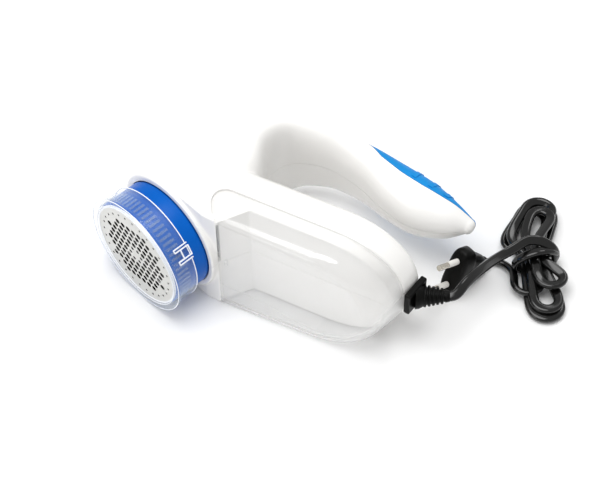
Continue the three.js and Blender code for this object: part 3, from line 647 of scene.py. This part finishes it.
def handle_rings(inset=0.0, steps=150, count=112, first=0.0):
    rings = [handle_ring(first + (1 - first) * k / steps, inset, count) for k in range(steps + 1)]
    tip = rings[-1]
    middle = tip.mean(axis=0)
    nose = max(3.6 - inset, 0.4)
    for k in range(1, 9):
        angle = 1.35 * k / 8
        forward = nose * math.sin(angle)
        rings.append((tip - middle) * math.cos(angle) + middle
                     + np.array([forward, -0.15 * forward, 0]))
    return rings


# ------------------------------------------------------------------ iron-shaped body
SOLE_Y, FLOOR_Y, CHEEK_TOP_Y, BACK_Y = 17.0, 35.0, 43.0, 69.3
BACK_ROUND = 18.0
REAR_START_X, REAR_X, FULLEST_Y = 112.0, 165.0, 56.5
BOX_WALL = 1.5
CHEEK_DEPTH = BOX_WALL + GAP
BLOCK = [(18, 24.5), (38, 17.8), (48, 17), (63, FLOOR_Y + 1.5), (63, 53), (34, 60), (8, 60),
         (-6, 40)]
CHEEK = [(48.4, SOLE_Y), (43, 22), (38, 30), (37, 35), (38.2, 39.5), (42, 42.4),
         (46, CHEEK_TOP_Y), (175, CHEEK_TOP_Y), (175, 10), (48.4, 10)]


def rear_x(y):
    """How far the body's rounded rear reaches at this height."""
    if y < FULLEST_Y:
        return REAR_X - 13 * ((FULLEST_Y - y) / (FULLEST_Y - SOLE_Y)) ** 1.55
    return REAR_X - 34 * (1 - math.sqrt(max(0.0, 1 - ((y - FULLEST_Y) / 13) ** 2)))


def half_width(y):
    into = max(0.0, y - (BACK_Y - BACK_ROUND))
    return HALF_WIDTH - BACK_ROUND + math.sqrt(max(0.0, BACK_ROUND ** 2 - into ** 2))


def body_ring(y, inset, front_x, source_y=None, arc_points=72):
    """One level of the iron-shaped body, with the outline it has at source_y."""
    source = y if source_y is None else source_y
    half = half_width(source) - inset
    end = rear_x(source) - inset
    power = 2 / 2.2
    ring = [(front_x, y, -half)]
    for i in range(arc_points + 1):
        angle = -math.pi / 2 + math.pi * i / arc_points
        u = abs(math.cos(angle)) ** power
        v = math.copysign(abs(math.sin(angle)) ** power, math.sin(angle))
        ring.append((REAR_START_X + (end - REAR_START_X) * u, y, half * v))
    ring.append((front_x, y, half))
    return np.array(ring)


def grown(outline, by):
    """An outline moved outwards by a distance, corner by corner."""
    p = np.asarray(outline, float)
    area = sum(a[0] * b[1] - b[0] * a[1] for a, b in zip(p, np.roll(p, -1, axis=0)))
    side = 1 if area > 0 else -1
    out = []
    for i, q in enumerate(p):
        before, after = q - p[i - 1], p[(i + 1) % len(p)] - q
        n1 = side * np.array([before[1], -before[0]]) / np.linalg.norm(before)
        n2 = side * np.array([after[1], -after[0]]) / np.linalg.norm(after)
        corner = n1 + n2
        out.append(q + corner * by / max(corner @ n2, 0.3))
    return np.array(out)


def rounded(outline, radius, steps=6):
    """A closed outline with its corners rounded by about the radius."""
    p = np.asarray(outline, float)
    out = []
    for i, q in enumerate(p):
        a, b = p[i - 1] - q, p[(i + 1) % len(p)] - q
        la, lb = np.linalg.norm(a), np.linalg.norm(b)
        start, end = q + a / la * min(radius, la / 2), q + b / lb * min(radius, lb / 2)
        for k in range(steps + 1):
            w = k / steps
            out.append((1 - w) ** 2 * start + 2 * w * (1 - w) * q + w ** 2 * end)
    return out


def grip_region(name, drawn_in):
    return plate(name, grown([*GRIP_LINE, (190, 150), (70, 150)], -drawn_in), -60, 60)


# ------------------------------------------------------------------ the white housing
SWITCH_TURN = 0.53
SWITCH_AT = np.array([40.0, 121.4, 0.0])
SCREWS = [(-16, 60, 38.2), (63, 123.5, 27.5), (132, 109, 16.8), (70, 62, 37.5), (140, 60, 28)]
VOXEL = 0.65
WALL = 2.4                     # the housing's wall round the body
HANDLE_WALL = 4.0
ROOT_AT, ROOT_REACH = (56, 72), (24, 15)   # the valley where the handle meets the body
ROOT_LEVELS, ROOT_PASSES = 5, 90


def remeshed(piece, smoothing):
    remesh = piece.modifiers.new("remesh", "REMESH")
    remesh.mode = "VOXEL"
    remesh.voxel_size = VOXEL * MM
    remesh.use_smooth_shade = True
    relax = piece.modifiers.new("relax", "SMOOTH")
    relax.factor = 0.5
    relax.iterations = smoothing
    bake_modifiers(piece)


def blend_root(piece):
    """Fills the sharp valley where the handle grows out of the body into a soft hollow."""
    co = np.zeros(len(piece.data.vertices) * 3, np.float32)
    piece.data.vertices.foreach_get("co", co)
    p = co.reshape(-1, 3) / MM - SHIFT
    near = np.hypot((p[:, 0] - ROOT_AT[0]) / ROOT_REACH[0], (p[:, 1] - ROOT_AT[1]) / ROOT_REACH[1])
    weight = np.clip(1.3 - near, 0, 1)
    group = piece.vertex_groups.new(name="root")
    for level in range(1, ROOT_LEVELS + 1):
        low, high = (level - 1) / ROOT_LEVELS, level / ROOT_LEVELS
        chosen = np.nonzero((weight > low) & (weight <= high))[0]
        group.add(chosen.tolist(), high, "REPLACE")
    relax = piece.modifiers.new("root", "SMOOTH")
    relax.factor = 0.5
    relax.iterations = ROOT_PASSES
    relax.vertex_group = "root"
    bake_modifiers(piece)
    piece.vertex_groups.clear()


def turn_about_z(angle):
    c, s = math.cos(angle), math.sin(angle)
    return np.array([[c, -s, 0], [s, c, 0], [0, 0, 1]])


def housing_outside():
    housing = loft("housing", handle_rings())
    levels = [CHEEK_TOP_Y + GAP, 46, 50, *np.linspace(53, BACK_Y, 26)]
    join(housing, loft("upper", [body_ring(y, 0, 30) for y in levels]))
    join(housing, plate("block", BLOCK, -HALF_WIDTH, HALF_WIDTH))
    box_space = [(48, SOLE_Y - 9), (48, SOLE_Y), (63, FLOOR_Y), (175, FLOOR_Y), (175, 8)]
    cut(housing, plate("box_space", box_space, -50, 50))
    tongue = [body_ring(y, CHEEK_DEPTH, 50) for y in (FLOOR_Y, 39, CHEEK_TOP_Y + 2)]
    join(housing, loft("tongue", tongue))
    remeshed(housing, 7)
    blend_root(housing)
    for side in (1, -1):
        low = HALF_WIDTH - CHEEK_DEPTH if side > 0 else -HALF_WIDTH - 5
        outline = rounded(grown(CHEEK, GAP), 2.5)
        cut(housing, plate("cheek_pocket", outline, low, low + CHEEK_DEPTH + 5))
    mouth = turned("mouth", [(0, -4), (37.2, -4), (37.2, 35.6), (0, 35.6)], closed=False)
    outlet = plate("outlet", [(46.9, 18.3), (48.4, 16.9), (49.5, 18.4), (42, 27)], 1, 37)
    cut(housing, mouth, outlet)
    return housing


def make_housing():
    housing = housing_outside()
    pocket = loft("pocket", handle_rings(-1.5, 120, 96))
    boolean(pocket, grip_region("region", 0), "INTERSECT")
    cut(pocket, loft("core", handle_rings(GRIP_DEPTH, 120, 96)))
    cut(housing, pocket)
    window = block("window", (24, 3.4, 9), SWITCH_AT + turn_about_z(SWITCH_TURN) @ (0, 0.4, 0),
                   turn_about_z(SWITCH_TURN))
    cut(housing, window, block("lead_hole", (14, 9.6, 9.6), (LEAD_X - 4, LEAD_Y, 0)))

    inside = loft("inside", handle_rings(HANDLE_WALL, 60, 64, first=0.03))
    levels = [CHEEK_TOP_Y + 1, 52, 60, 65, BACK_Y - WALL]
    upper = [body_ring(y, WALL, 30, min(y + 0.8, BACK_Y)) for y in levels]
    join(inside, loft("inside_upper", upper))
    cut(housing, inside)
    for x, y, half in SCREWS:
        cut(housing, bar("screw_hole", 3.3, (x, y, -HALF_WIDTH - 2), (x, y, -half * 0.62)))

    lower = copied(housing, "lower_shell_skin")
    housing.name = "upper_shell_skin"
    cut(housing, block("below", (500, 300, 100), (60, 70, -50)))
    cut(lower, block("above", (500, 300, 100), (60, 70, 50 - GAP)))
    for piece, node in ((housing, "upper_shell"), (lower, "lower_shell")):
        smooth_by_angle(piece, 38)
        finish_piece(piece, "housing", MATERIALS["white"], "white_plastic", node)


# ------------------------------------------------------------------ grip insert
GRIP_RIBS = [(132.5, 0.12), (145.5, 0.22), (157.5, 0.3)]


def make_grip():
    grip = loft("grip_skin", handle_rings(-0.05, 170, 144))
    boolean(grip, grip_region("region", 0.3), "INTERSECT")
    cut(grip, loft("core", handle_rings(GRIP_DEPTH - GAP, 120, 96)))
    ribs = loft("ribs", handle_rings(-0.55, 170, 144))
    slabs = None
    for x, lean in GRIP_RIBS:
        slab = block("slab", (3.2, 24, 40), (x, 127, 0), turn_about_z(-lean))
        slabs = slab if slabs is None else join(slabs, slab)
    boolean(ribs, slabs, "INTERSECT")
    boolean(ribs, grip_region("region", 2.2), "INTERSECT")
    cut(ribs, loft("core", handle_rings(GRIP_DEPTH - GAP, 120, 96)))
    join(grip, ribs)
    smooth_by_angle(grip, 40)
    finish_piece(grip, "housing", MATERIALS["grip"], "grip_plastic", "grip_insert")


# ------------------------------------------------------------------ lint box
def box_ring(y, inset, front_x):
    """One level of the lint box, its sole's edge rounded more and more towards the rear."""
    ring = body_ring(y, inset, front_x)
    depth = max(y - SOLE_Y - inset, 0.0)
    for p in ring:
        share = min(max((p[0] - 48) / 85, 0), 1)
        radius = 0.8 + 8.5 * share
        if depth < radius:
            pull = radius - math.sqrt(max(radius ** 2 - (radius - depth) ** 2, 0.0))
            centre = np.array([min(p[0], REAR_START_X), p[1], 0.0])
            out = p - centre
            reach = np.linalg.norm(out)
            p[:] = centre + out * max(reach - pull, 1.0) / reach
    return ring


def make_lint_box():
    levels = SOLE_Y + np.array([0, 0.1, 0.3, 0.6, 1, 1.5, 2.2, 3, 4, 5.2, 6.6, 8.2, 10, 14, 20, 26])
    box = loft("lint_box_clear", [box_ring(y, 0, 30) for y in levels])
    inner = [SOLE_Y + BOX_WALL + d for d in (0, 0.3, 0.8, 1.5, 2.6, 4, 5.6, 7.6, 10, 16, 26)]
    cut(box, loft("inside", [box_ring(y, BOX_WALL, 25) for y in inner]))
    boolean(box, plate("cheeks", rounded(CHEEK, 2.2), -60, 60), "INTERSECT")
    chute = [(30, 10), (48.4, 10), (48.4, SOLE_Y), (64, FLOOR_Y + 1), (64, 50), (30, 50)]
    cut(box, plate("chute", chute, -HALF_WIDTH + BOX_WALL, HALF_WIDTH - BOX_WALL))
    join(box, block("catch", (1.6, 2.4, 5), (52.4, SOLE_Y + 2, 0)))
    smooth_by_angle(box, 40)
    finish_piece(box, "lint_box", MATERIALS["clear"], "clear_plastic", "lint_box")


# ------------------------------------------------------------------ shaving head
GUARD_R, GUARD_RIM_R, GUARD_BACK = 39.0, 40.7, 17.2
COLLAR_R, FOIL_R = 36.8, 35.0
LATCH_TURN = -0.58
LATCH_SLOT = 4.3               # sideways place of each slot beside the latch
RIB_COUNT = 66                 # fine ribs along the inside of the guard
RIB_HEIGHT = 0.3
RIB_ENDS = (4.8, 13.2)


def on_rim(size, centre, turn):
    """A box on the guard's rim, given in the head's frame and turned about its axis."""
    c, s = math.cos(turn), math.sin(turn)
    about = np.array([[c, 0, s], [0, 1, 0], [-s, 0, c]])
    m = head_matrix()[:, :3]
    return block("rim_piece", size, from_head([about @ np.array(centre, float)])[0], m @ about)


def make_guard():
    inner = GUARD_R - 1.4
    profile = [(35.9, 0.7), (36.2, 0.15), (36.8, 0), (39.6, 0), (40.4, 0.3), (GUARD_RIM_R, 1.0),
               (GUARD_RIM_R, 2.4), (40.3, 3.0), (GUARD_R, 3.6), (GUARD_R, GUARD_BACK - 0.3),
               (GUARD_R - 0.3, GUARD_BACK), (inner + 0.3, GUARD_BACK), (inner, GUARD_BACK - 0.3),
               (inner, 2.4), (35.9, 2.1)]
    guard = turned("guard_clear", profile, 192)
    for z in (-LATCH_SLOT, LATCH_SLOT):
        cut(guard, on_rim((6, 10, 1.4), (GUARD_R, 13, z), LATCH_TURN))
    smooth_by_angle(guard, 40)
    finish_piece(guard, "guard", MATERIALS["guard"], "clear_plastic", "guard")


def make_guard_edges():
    """The guard's moulded edges: rim beads, the latch's raised outline, and the lip at the foil, in a
    pale opaque finish that is a painted highlight on the clear guard.
    """
    def bead(radius, y, size):
        ring = [(radius + size * math.cos(a), y + size * math.sin(a))
                for a in np.linspace(0, 2 * math.pi, 8, endpoint=False)]
        return turned("bead", ring, 192)

    edges = bead(GUARD_R - 0.05, GUARD_BACK - 0.15, 0.34)
    for z in (-LATCH_SLOT, LATCH_SLOT):
        cut(edges, on_rim((6, 3, 1.4), (GUARD_R, GUARD_BACK, z), LATCH_TURN))
    out = GUARD_R + 0.25
    inner, outer = LATCH_SLOT - 1.1, LATCH_SLOT + 0.95
    lines = []
    for side in (-1, 1):
        lines += [((0.9, 10, 0.5), (out, 13, side * outer)),
                  ((0.9, 10.3, 0.6), (out, 13.1, side * inner)),
                  ((0.9, 0.55, 2.4), (out, 7.9, side * LATCH_SLOT))]
    lines += [((0.9, 0.7, 6.6), (out, 12.2, 0)), ((0.9, 0.7, 6.6), (out, 18.0, 0))]
    for size, centre in lines:
        join(edges, on_rim(size, centre, LATCH_TURN))
    lip = turned("lip", [(34.5, 1.1), (35.1, 0.75), (35.6, 0.9), (35.75, 1.5), (35.75, 4.5),
                         (34.5, 4.5)], 144)
    pieces = [edges, bead(GUARD_RIM_R - 0.25, 0.75, 0.3), bead(36.1, 0.35, 0.3), lip]
    for number, piece in enumerate(pieces):
        piece.name = f"guard_edge_{number + 1}"
        smooth_by_angle(piece, 40)
        finish_piece(piece, "guard", MATERIALS["edge"], "clear_plastic")


def make_guard_ribs():
    """Fine ribs along the inside of the guard's skirt, as one mesh of separate bars."""
    inside = GUARD_R - 1.42
    points, faces = [], []
    for i in range(RIB_COUNT):
        turn = 2 * math.pi * i / RIB_COUNT
        half = 0.25 * 2 * math.pi / RIB_COUNT
        top = inside - RIB_HEIGHT
        for y in RIB_ENDS:
            for radius, angle in ((inside, turn - half), (inside, turn + half),
                                  (top, turn + half * 0.8), (top, turn - half * 0.8)):
                points.append((radius * math.cos(angle), y, radius * math.sin(angle)))
        k = 8 * i
        faces += [(k, k + 1, k + 2, k + 3), (k + 7, k + 6, k + 5, k + 4)]
        faces += [(k + j, k + 4 + j, k + 4 + (j + 1) % 4, k + (j + 1) % 4) for j in range(4)]
    ribs = new_piece("guard_ribs", from_head(points), faces, smooth=False)
    face_out(ribs)
    finish_piece(ribs, "guard", MATERIALS["rib"], "clear_plastic")


def make_collar():
    profile = [(34.6, 2.0), (35.2, 2.0), (COLLAR_R - 0.2, 3.4), (COLLAR_R, 3.8), (COLLAR_R, 27.4),
               (COLLAR_R - 0.6, 28), (35.8, 28), (35.8, 31.6), (34.6, 31.6)]
    collar = turned("collar_blue", profile, 192)
    smooth_by_angle(collar, 40)
    finish_piece(collar, "collar", MATERIALS["blue"], "blue_plastic", "foil_collar")


HOLE_COUNT = 28
HOLE_RING_R, HOLE_R = 30.4, 0.8
SLOT_PITCH = 5.0
SLOT, SMALL_SLOT = (1.9, 1.75), (1.3, 1.2)   # half length and half width
FIELD_FLAT_R, FIELD_ROUND_R = 25.5, 26.2     # the field is six-sided with its corners cut
FOIL_HALF_THICKNESS = 0.06
FIELD_TURN = 0.12              # angle of the slots' rows
SLOT_TURN = -0.49              # angle of each slot's length


def turned_points(points, angle, at):
    c, s = math.cos(angle), math.sin(angle)
    return [(x * c - y * s + at[0], x * s + y * c + at[1]) for x, y in points]


def slot_outline(half_long, half_wide):
    """A slot with round ends; its first corner is turned a little off its long axis."""
    angles = np.linspace(0.1, 0.1 + 2 * math.pi, 16, endpoint=False)
    return [(math.copysign(half_long - half_wide, math.cos(a)) + half_wide * math.cos(a),
             half_wide * math.sin(a)) for a in angles]


def foil_outlines():
    """The foil's openings, as closed outlines in its own plane."""
    hole = [(HOLE_R * math.cos(a), HOLE_R * math.sin(a))
            for a in np.linspace(0, 2 * math.pi, 14, endpoint=False)]
    outlines = []
    for i in range(HOLE_COUNT):
        angle = 2 * math.pi * i / HOLE_COUNT
        outlines.append(turned_points(hole, 0, (HOLE_RING_R * math.cos(angle),
                                                HOLE_RING_R * math.sin(angle))))
    for row in range(-5, 6):
        for column in range(-7, 8):
            x, y = SLOT_PITCH * (column + row / 2), SLOT_PITCH * row * 0.866
            reach = max(abs(x * math.cos(k * math.pi / 3) + y * math.sin(k * math.pi / 3))
                        for k in range(3))
            middle = math.hypot(x, y)
            if reach > FIELD_FLAT_R or middle > FIELD_ROUND_R or middle < 1:
                continue
            size = SMALL_SLOT if middle < 6 else SLOT
            at = turned_points([(x, y)], FIELD_TURN, (0, 0))[0]
            outlines.append(turned_points(slot_outline(*size), SLOT_TURN, at))
    return outlines


def make_foil():
    curve = bpy.data.curves.new("foil_sheet", "CURVE")
    curve.dimensions = "2D"
    curve.fill_mode = "BOTH"
    curve.extrude = FOIL_HALF_THICKNESS
    rim = [(FOIL_R * math.cos(a), FOIL_R * math.sin(a))
           for a in np.linspace(0, 2 * math.pi, 180, endpoint=False)]
    for outline in [rim, *foil_outlines()]:
        line = curve.splines.new("POLY")
        line.points.add(len(outline) - 1)
        line.points.foreach_set("co", [v for x, y in outline for v in (x, y, 0, 1)])
        line.use_cyclic_u = True
    flat = bpy.data.objects.new("flat", curve)
    bpy.context.scene.collection.objects.link(flat)
    graph = bpy.context.evaluated_depsgraph_get()
    mesh = bpy.data.meshes.new_from_object(flat.evaluated_get(graph))
    points = [v.co for v in mesh.vertices]
    faces = [tuple(p.vertices) for p in mesh.polygons]
    bpy.data.objects.remove(flat)
    head = from_head([(p[0], 1.26 - p[2], p[1]) for p in points])
    foil = new_piece("foil_sheet", head, faces, smooth=False)
    bm = bmesh.new()
    bm.from_mesh(foil.data)
    bmesh.ops.remove_doubles(bm, verts=bm.verts, dist=1e-7)
    bm.to_mesh(foil.data)
    bm.free()
    face_out(foil)
    skirt = turned("foil_skirt", [(33.9, 1.3), (34.3, 1.3), (34.3, 5), (33.9, 5)], 144)
    # painted shade: a thin black liner inside the collar, put where its inside lies in shade
    sleeve = turned("shade_liner", [(33.5, 1.5), (33.8, 1.5), (33.8, 11), (33.5, 11)], 144)
    for piece, material, nodes in ((foil, "foil", ["foil"]), (skirt, "foil", []),
                                   (sleeve, "black", [])):
        smooth_by_angle(piece, 40)
        finish_piece(piece, "collar", MATERIALS[material], "steel", *nodes)


# ------------------------------------------------------------------ strain relief and plug
BOOT_RIBS, BOOT_RIB_PITCH = 5, 2.6


def make_strain_relief():
    boot_side = np.array([-BOOT_AXIS[1], BOOT_AXIS[0], 0.0])
    rings = []

    def ring(distance, wide, tall):
        angles = np.linspace(0, 2 * math.pi, 48, endpoint=False)
        rings.append([BOOT_ROOT + BOOT_AXIS * distance + boot_side * wide * math.cos(a)
                      + np.array([0, 0, tall * math.sin(a)]) for a in angles])

    for d, r in ((-1.0, 8.2), (1.2, 8.0), (4.0, 6.6)):
        ring(d, r, r)
    for i in range(BOOT_RIBS):
        radius, start = 7.0 - 0.5 * i, 4.1 + BOOT_RIB_PITCH * i
        for d, r in ((0, radius - 0.35), (0.3, radius), (1.3, radius), (1.6, radius - 0.35),
                     (1.7, radius - 1.4), (2.5, radius - 1.4)):
            ring(start + d, r, r)
    for d, r in ((17.3, 3.9), (18.4, 3.8), (19.6, 3.6), (20, 3.3)):
        ring(d, r * 1.06, r * 0.9)
    boot = smooth_by_angle(loft("boot", rings), 50)
    finish_piece(boot, "housing", MATERIALS["black"], "black_plastic", "strain_relief")
    flange = block("boot_flange", (4.2, 19, 17.5), (LEAD_X + 1.5, LEAD_Y, 0), turn_about_z(-0.17))
    soften(flange, 1.0, 3)
    finish_piece(flange, "housing", MATERIALS["black"], "black_plastic")
    throat = block("boot_throat", (11, 9, 9), (LEAD_X - 4.6, LEAD_Y, 0))
    soften(throat, 0.6)
    finish_piece(throat, "housing", MATERIALS["black"], "black_plastic")


def make_plug():
    """The moulded plug: a flat body, a waist, and a ribbed neck for the lead."""
    pins = PLUG_PINS / np.linalg.norm(PLUG_PINS)
    wide = np.array([0, 0, 1.0]) - pins * pins[2]
    wide /= np.linalg.norm(wide)
    thick = np.cross(wide, pins)
    # distance back from the face, half width and half thickness of each section
    sections = [(0, 14.6, 4.6), (0.5, 16.0, 5.9), (1.4, 16.9, 6.6), (3, 17.3, 6.85),
                (8.6, 17.3, 6.85), (9.6, 16.6, 6.8), (10.6, 14.4, 6.6), (12, 13.2, 6.5),
                (17, 11.6, 6.4), (22, 9.6, 6.2), (26, 7.8, 5.9), (27, 7.0, 5.4),
                (27.3, 5.2, 4.4), (27.8, 5.0, 4.2)]
    for i in range(2):
        start = 28 + 2.5 * i
        size = 5.4 - 0.35 * i
        sections += [(start, size - 0.3, size - 1.0), (start + 0.25, size, size - 0.6),
                     (start + 1.3, size, size - 0.6), (start + 1.5, size - 1.0, size - 1.5),
                     (start + 2.3, size - 1.0, size - 1.5)]
    sections.append((PLUG_NECK, 3.7, 2.6))
    angles = np.linspace(0, 2 * math.pi, 64, endpoint=False)
    rings = []
    for back, half_wide, half_thick in sections:
        power = 2 / (3.4 if back < 20 else 2.3)
        w = np.sign(np.cos(angles)) * np.abs(np.cos(angles)) ** power * half_wide
        t = np.sign(np.sin(angles)) * np.abs(np.sin(angles)) ** power * half_thick
        sag = np.array([0, 0, -PLUG_DROOP * (back / PLUG_NECK) ** 2])
        ring = PLUG_AT - pins * back + sag + w[:, None] * wide + t[:, None] * thick
        ring[:, 2] = np.maximum(ring[:, 2], FLOOR_Z + PLUG_CLEARANCE)
        rings.append(ring)
    plug = smooth_by_angle(loft("plug_moulding", rings), 50)
    finish_piece(plug, "housing", MATERIALS["black"], "black_plastic", "plug_body")
    return plug


CARRIED_OVER = {
    "steel": ["screw_head", "screw_neck", "screw_grip", "screw_box_side", "screw_rear", "blade_1",
              "blade_2", "blade_3", "blade_spring", "hex_driver", "motor_shaft", "motor_screw_left",
              "motor_screw_right"],
    "dark": ["blade_carrier", "cutter_bowl", "motor_clamp", "lead_clamp"],
    "black": ["drive_hub", "safety_plunger", "safety_switch", "power_switch", "rectifier"],
    "can": ["motor", "choke"],
    "grip": ["capacitor"],
    "blue": ["power_slider"],
    "board": ["circuit_board"],
    "nickel": ["pin_live", "pin_neutral"],
    "sleeve": ["pin_sleeve_live", "pin_sleeve_neutral"],
}


def dress_cad_nodes():
    for material, names in CARRIED_OVER.items():
        for name in names:
            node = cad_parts[name]
            node.data.materials.clear()
            node.data.materials.append(MATERIALS[material])
            soften(node, 0.25, 2, 30)


make_camera()
make_studio()
lead, lead_line, lead_length = make_lead()
make_plug()
make_housing()
make_grip()
make_lint_box()
make_guard()
make_guard_edges()
make_guard_ribs()
make_collar()
make_foil()
make_strain_relief()
dress_cad_nodes()
